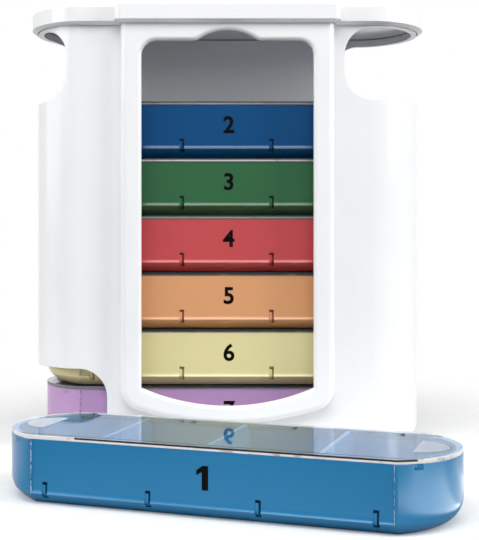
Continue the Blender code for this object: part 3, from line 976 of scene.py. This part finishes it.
def tower_outline(bm, inset, height, bump=()):
    """The right half of the tower's outline, moved in by a wall."""
    plan = moved_in(TOWER_PLAN, inset)
    return half_outline(bm, plan, height, TOWER_STEPS, TOWER_CORNER - inset, bump)


def tower_stack(name, levels):
    """Outlines of the tower, each at its inset and height, bridged into a solid."""
    bm = bmesh.new()
    stacked(bm, [tower_outline(bm, inset, height) for inset, height in levels])
    return solid(name, bm)


foot_heights = rounding_heights(FOOT_ROUNDING, 8) + [TOWER_TOP]
tower = tower_stack("housing", [
    (rounding(height, FOOT_ROUNDING), height) for height in foot_heights])
report(tower)

# %% [markdown]
# A frame stands forward round the window, with round front edges and a shallow arc at the
# bottom. It is rounded while it is still alone, because its rim is easy to pick then.

# %% Window frame
OUT = (0, 1, 0)
FRAME_HALF = 0.0388
FRAME_FRONT = 0.0294
FRAME_FOOT = 0.0110
FRAME_FOOT_RADIUS = 0.1100
FRAME_CORNER = 0.0080
FRAME_EDGE = 0.0026
FRAME_ROOT = 0.0003
ARCH_STEPS = 20
BEYOND = 0.0001


def frame_outline(front, half, foot, foot_radius, corner, top):
    """The frame's outline: a right half from its foot up to the top, and its mirror."""
    centre_z = foot + foot_radius
    corner_x = half - corner
    drop = math.sqrt((foot_radius - corner) ** 2 - corner_x ** 2)
    lean = math.atan2(corner_x, drop)
    bm = bmesh.new()
    draw(bm, (0, front, foot),
         ((0, front, centre_z), OUT, -lean, ARCH_STEPS),
         ((corner_x, front, centre_z - drop), OUT, lean - math.pi / 2, CORNER_STEPS),
         (half, front, top), (0, front, top))
    mirror_left(bm)
    return bm


def within(edge, side, height):
    """Whether an edge lies between both sides and below a height."""
    return all(abs(vert.co.x) < side and vert.co.z < height for vert in edge.verts)


def frame_rim(edge):
    """The frame's front edges, but not its top one."""
    return all_near(edge, 1, -FRAME_FRONT) and not all_near(edge, 2, TOWER_TOP)


def frame_root(edge):
    """The edges between the frame and the tower's flat front."""
    return (all_near(edge, 1, -TOWER_PLAN[1]) and edge.calc_face_angle(0) > SHARP / 2
            and within(edge, FRAME_HALF + BEYOND, TOWER_TOP + BEYOND)
            and not all_near(edge, 2, TOWER_TOP))


outline = frame_outline(
    -FRAME_FRONT, FRAME_HALF, FRAME_FOOT, FRAME_FOOT_RADIUS, FRAME_CORNER, TOWER_TOP)
frame_depth = FRAME_FRONT - TOWER_PLAN[1] + WALL / 2
frame_solid = swept_solid("window_frame", outline, (0, frame_depth, 0))
soften(frame_solid, FRAME_EDGE, 8, frame_rim)
combine(tower, "UNION", frame_solid)
soften(tower, FRAME_ROOT, 3, frame_root)
report(tower)

# %% [markdown]
# The hollow is the same outline moved in by the wall, and the frame gets a hollow of its own,
# so that the wall is as thick there.

# %% Hollow
hollow = tower_stack("hollow", [(WALL, TOWER_FLOOR), (WALL, TOWER_TOP + OVERRUN)])
outline = frame_outline(-FRAME_FRONT + WALL, FRAME_HALF - WALL, FRAME_FOOT + WALL,
                        FRAME_FOOT_RADIUS - WALL, FRAME_CORNER - WALL, TOWER_TOP + OVERRUN)
combine(tower, "DIFFERENCE", hollow)
combine(tower, "DIFFERENCE", swept_solid("frame_hollow", outline, (0, FRAME_FRONT - WALL, 0)))
report(tower)

# %% [markdown]
# The window has an arc at the foot, round corners, and an arc at the top for a thumb. Its rim
# is rounded next.

# %% Window
WINDOW_HALF = 0.0312
WINDOW_FOOT = 0.0176
WINDOW_FOOT_RADIUS = 0.0775
WINDOW_TOP = 0.1500
WINDOW_CORNER = 0.0054
THUMB_HALF = 0.0112
THUMB_RISE = 0.0037
THUMB_BLEND = 0.0030
WINDOW_RIM = 0.0014
SMALL_ARC_STEPS = 12


def window_tool():
    """The window's cutter: an arc at the foot, round corners and the thumb's arc."""
    centre_z = WINDOW_FOOT + WINDOW_FOOT_RADIUS
    lean = math.asin(WINDOW_HALF / WINDOW_FOOT_RADIUS)
    thumb_radius = (THUMB_HALF ** 2 + THUMB_RISE ** 2) / (2 * THUMB_RISE)
    reach = thumb_radius + THUMB_BLEND
    thumb_x = math.sqrt(reach ** 2 - (reach - THUMB_RISE) ** 2)
    thumb_lean = math.atan2(thumb_x, reach - THUMB_RISE)
    shoulder = WINDOW_TOP - WINDOW_CORNER
    front = -FRAME_FRONT - OVERRUN
    bm = bmesh.new()
    draw(bm, (0, front, WINDOW_FOOT),
         ((0, front, centre_z), OUT, -lean, ARCH_STEPS),
         (WINDOW_HALF, front, shoulder),
         ((WINDOW_HALF - WINDOW_CORNER, front, shoulder), OUT, -math.pi / 2, CORNER_STEPS),
         (thumb_x, front, WINDOW_TOP),
         ((thumb_x, front, WINDOW_TOP + THUMB_BLEND), OUT, thumb_lean, SMALL_ARC_STEPS // 2),
         ((0, front, WINDOW_TOP + THUMB_RISE - thumb_radius), OUT, -thumb_lean, SMALL_ARC_STEPS))
    mirror_left(bm)
    return swept_solid("window", bm, (0, -front, 0))


def window_rim(edge):
    """The window's front edges."""
    return (all_near(edge, 1, -FRAME_FRONT) and edge.calc_face_angle(0) > SHARP
            and within(edge, WINDOW_HALF + BEYOND, WINDOW_TOP + OVERRUN))


combine(tower, "DIFFERENCE", window_tool())
soften(tower, WINDOW_RIM, 6, window_rim)
report(tower)

# %% [markdown]
# Notches at the ends let a tray in at the top and out at the foot. The lowest one reaches down
# to the floor, so it has no round corner there. Each has a side, its inner end, its bottom, its
# top, and whether its foot is round.

# %% Notches
NOTCH_RADIUS = 0.0105
NOTCH_REACH = 0.08
TOP_PLACE = 0.1290
NOTCH_TOP = 0.1558
FOOT_NOTCH_TOP = 0.0306
NOTCHES = [
    (1, 0.0428, TOP_PLACE, NOTCH_TOP, True),
    (-1, 0.0590, TOP_PLACE, NOTCH_TOP, True),
    (-1, 0.0440, TOWER_FLOOR, FOOT_NOTCH_TOP, False),
]


def notch_tool(side, inner, bottom, top, round_foot):
    """The cutter of one end's notch, with round inner corners."""
    outer = side * NOTCH_REACH
    front = -NOTCH_REACH / 2
    start = (outer, front, bottom)
    centre = side * (inner + NOTCH_RADIUS)
    turn = side * math.pi / 2
    low = bottom + NOTCH_RADIUS
    high = top - NOTCH_RADIUS
    if round_foot:
        moves = [(centre, front, bottom), ((centre, front, low), OUT, turn, SMALL_ARC_STEPS)]
    else:
        moves = [(side * inner, front, bottom)]
    moves += [(side * inner, front, high), ((centre, front, high), OUT, turn, SMALL_ARC_STEPS)]
    bm = bmesh.new()
    draw(bm, start, *moves, (outer, front, top), start)
    return swept_solid("notch", bm, (0, NOTCH_REACH, 0))


for settings in NOTCHES:
    combine(tower, "DIFFERENCE", notch_tool(*settings))
report(tower)

# %% [markdown]
# ## The cap
#
# The cap overhangs the tower by two millimetres all round, with a generous rounding on its
# top edge, and takes the tower's top edge in a shallow recess. Its underside slopes down
# towards the wall, which shows as a grey line under the cap. The lip below the outer edge is
# bridged from two outlines: the cap's own, and one close round the wall.

# %% Cap
CAP_OVERHANG = 0.0022
CAP_UNDERSIDE = 0.1573
CAP_LIP = 0.1562
CAP_TOP = 0.1645
CEILING = 0.1587
CAP_ROUNDING = 0.0022


def cap_outline(bm, overhang, bottom):
    """The right half of the tower's outline with its frame, moved out by an overhang."""
    half = FRAME_HALF + overhang
    front = FRAME_FRONT + overhang
    turn = (half - FRAME_EDGE, -front + FRAME_EDGE, bottom)
    bump = [(0, -front, bottom), (turn[0], -front, bottom), (turn, UP, math.pi / 2, 8),
            (half, -TOWER_PLAN[1] - overhang, bottom)]
    return tower_outline(bm, -overhang, bottom, bump)


def cap_solid(name, levels):
    """Outlines of the tower, each at its overhang and height, bridged into a solid."""
    bm = bmesh.new()
    stacked(bm, [cap_outline(bm, overhang, height) for overhang, height in levels])
    return solid(name, bm)


cap = cap_solid("top_cap", [
    (GAP * 1.5, CAP_LIP), (CAP_OVERHANG, CAP_UNDERSIDE), (CAP_OVERHANG, CAP_TOP)])
soften(cap, CAP_ROUNDING, 8, lambda edge: all_near(edge, 2, CAP_TOP))
cap_recess = cap_solid("cap_recess", [(GAP, CAP_LIP - OVERRUN), (GAP, CEILING)])
combine(cap, "DIFFERENCE", cap_recess)
report(cap)

# %% [markdown]
# ## Finishing each piece
#
# Smooth shading with weighted normals keeps the flat faces flat between the rounded edges. An
# edge that turns by more than 38 degrees stays sharp in the mesh, and the Bevel node of the
# plastics rounds it. The first tray in the list is the lowest of the stack.

# %% Finish helpers and places
SMOOTH_ANGLE = math.radians(38)
MERGE = 0.000005
STACK = ["sunday", "saturday", "friday", "thursday", "wednesday", "tuesday"]
STACK_FOOT = 0.0030
TRAY_PITCH = 0.0210
LOOSE_PLACE = (-0.0001, -0.0985, 0)


def finish_piece(item, materials):
    """Clean mesh, smooth shading and the piece's materials."""
    bm = bmesh.new()
    bm.from_mesh(item.data)
    weld(bm, MERGE)
    bmesh.ops.dissolve_degenerate(bm, edges=bm.edges, dist=MERGE)
    bm.to_mesh(item.data)
    bm.free()
    item.data.shade_smooth()
    item.data.set_sharp_from_angle(angle=SMOOTH_ANGLE)
    item.data.materials.clear()
    for material in materials:
        item.data.materials.append(material)
    weighted = item.modifiers.new("flat_faces", "WEIGHTED_NORMAL")
    weighted.keep_sharp = True


def placed_copy(name, model, matrix, materials):
    """A copy of a model whose place is in its mesh."""
    mesh = model.data.copy()
    mesh.transform(matrix)
    item = add_object(name, mesh)
    finish_piece(item, materials)
    return item


places = {day: Matrix.Translation((0, 0, STACK_FOOT + TRAY_PITCH * level))
          for level, day in enumerate(STACK)}
places["monday"] = Matrix.Translation(LOOSE_PLACE) @ Matrix.Rotation(LOOSE_TURN, 4, "Z")
print("places:", ", ".join(places))

# %% [markdown]
# Each piece stands for one node of the frame and rides on its body. Some faces get another
# material, which their place and direction in the tray's own frame pick: the proud edges of the
# tray's panel, which carry painted shade and painted glints, the ribs of the grips, the plate's
# edge with its painted light tone, its painted shadow rim, and the ends of the rails. The rail
# ends and the ribs that face left take the tray's opaque colour, a painted view of the tray
# through the clear resin.

# %% Dress the frame
RAIL_END = 0.0545
STEEP = 0.3
LEVEL = 0.95
SHELL, GLINT_SLOT = range(2)
CLEAR, GRIP, EDGE, TRAY_COLOUR, SHADOW_RIM_SLOT = range(5)


def tray_slot(spot):
    """The material of a tray's face, from the place of its middle."""
    past_panel = abs(spot.x) - PANEL_END - STEP_WIDTH / 3
    proud = RIDGE_HEIGHT < spot.z < TRAY_HEIGHT and 0 < past_panel < STEP_WIDTH * 0.6
    # The proud step faces get the painted shade and painted glints.
    return GLINT_SLOT if proud else SHELL


def lid_slot(spot, facing):
    """The material of a lid's face, from its middle and the way it faces."""
    along = abs(spot.x)
    # The rail ends are painted with the tray's colour, a painted view of the tray behind the clear
    # resin.
    if abs(facing.z) < STEEP and spot.z < LID_BOTTOM and along > RAIL_END:
        return TRAY_COLOUR
    if GRIP_START < along < GRIP_START + GRIP_LENGTH and abs(spot.y) < GRIP_HALF_WIDTH:
        if STEEP < facing.z < LEVEL:
            # The ribs facing left are painted with the tray's colour, a painted view of the tray
            # through them.
            return GRIP if facing.x > 0 else TRAY_COLOUR
    elif abs(facing.z) < LEVEL and spot.z > LID_BOTTOM:
        # The upper rim along the flat sides gets the painted shadow line.
        return SHADOW_RIM_SLOT if spot.z > RIM_HEIGHT and -RIM_LEFT < spot.x < RIM_RIGHT else EDGE
    return CLEAR


finish_piece(tower, [white_plastic])
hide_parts("housing")
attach(tower, "tower")
finish_piece(cap, [white_plastic])
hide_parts("top_cap")
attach(cap, "tower")

for day, matrix in places.items():
    body = day + "_tray"
    home = matrix.inverted()
    turn_home = home.to_3x3()
    tray = placed_copy(day + "_tray_shell", tray_model, matrix,
                       [tray_plastics[day], glint_and_shade_edges[day]])
    for face in tray.data.polygons:
        face.material_index = tray_slot(home @ face.center)
    if day == "monday":
        card_lit.objects.link(tray)
    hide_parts(day + "_tray")
    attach(tray, body)
    lid = placed_copy(day + "_lid_plate", lid_model, matrix,
                      [clear_lid, frosted_grip, frosted_painted_light_edges[day], tray_plastics[day], painted_shadow_rim])
    for face in lid.data.polygons:
        face.material_index = lid_slot(home @ face.center, turn_home @ face.normal)
    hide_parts(day + "_lid")
    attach(lid, day + "_lid" if day in ("sunday", "monday") else body)

for model in (tray_model, lid_model):
    bpy.data.objects.remove(model, do_unlink=True)
print("placed:", len(places), "trays with lids")

# %% [markdown]
# ## Printed numbers
#
# Each tray carries a plain number on its front, the first day's tray 1 and the last day's 7,
# in heavy black print. On each lid the numbers 1 to 4 mark the times of day along the back
# edge. The plain font's 1 is only a bar, so that figure is drawn with a flag. Its points are
# shares of its height.

# %% Numbers
ONE_SHARES = [(0.16, -0.5), (0.16, 0.5), (-0.08, 0.5), (-0.36, 0.3), (-0.36, 0.1),
              (-0.12, 0.24), (-0.12, -0.5)]
FONT_SHARE = 1.42
WEIGHT_SHARE = 0.036
INK_LIFT = 0.00004
NUMBER_ALONG = 0.0005
NUMBER_UP = 0.0118
NUMBER_HEIGHT = 0.0060
LOOSE_NUMBER_HEIGHT = 0.0069
HOUR_BACK = 0.0150
HOUR_HEIGHT = 0.0028


def figure_one(name, height):
    """A 1 with a flag."""
    points = [(across * height, up * height, 0) for across, up in ONE_SHARES]
    bm = bmesh.new()
    draw(bm, *points, points[0])
    weld(bm, TIGHT)
    bmesh.ops.contextual_create(bm, geom=bm.edges[:])
    return mesh_from(name, bm)


def figure(name, text, height):
    """A figure of the plain font, made heavier."""
    curve = bpy.data.curves.new(name, "FONT")
    curve.body = text
    curve.align_x = "CENTER"
    curve.align_y = "CENTER"
    curve.size = height * FONT_SHARE
    curve.offset = height * WEIGHT_SHARE
    source = add_object(name + "_curve", curve)
    mesh = evaluated_mesh(source)
    bpy.data.objects.remove(source, do_unlink=True)
    return mesh


def printed(name, text, height, matrix, body):
    """Heavy black figures, centred and as thin as a print."""
    mesh = figure_one(name, height) if text == "1" else figure(name, text, height)
    mesh.transform(matrix)
    item = add_object(name, mesh)
    item.data.materials.append(ink)
    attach(item, body)


stand_up = Matrix.Rotation(math.radians(90), 4, "X")
for number, day in enumerate(["monday"] + STACK[::-1], 1):
    spot = Matrix.Translation((NUMBER_ALONG, -PANEL_DEPTH - INK_LIFT, NUMBER_UP))
    height = LOOSE_NUMBER_HEIGHT if day == "monday" else NUMBER_HEIGHT
    printed(day + "_number", str(number), height, places[day] @ spot @ stand_up, day + "_tray")
    lid_body = day + "_lid" if day in ("sunday", "monday") else day + "_tray"
    for hour in range(4):
        spot = Matrix.Translation((PITCH_ALONG * (hour - 1.5), HOUR_BACK, LID_TOP + INK_LIFT))
        printed(f"{day}_hour_{hour + 1}", str(hour + 1), HOUR_HEIGHT, places[day] @ spot, lid_body)
print("figures printed:", 5 * len(places))
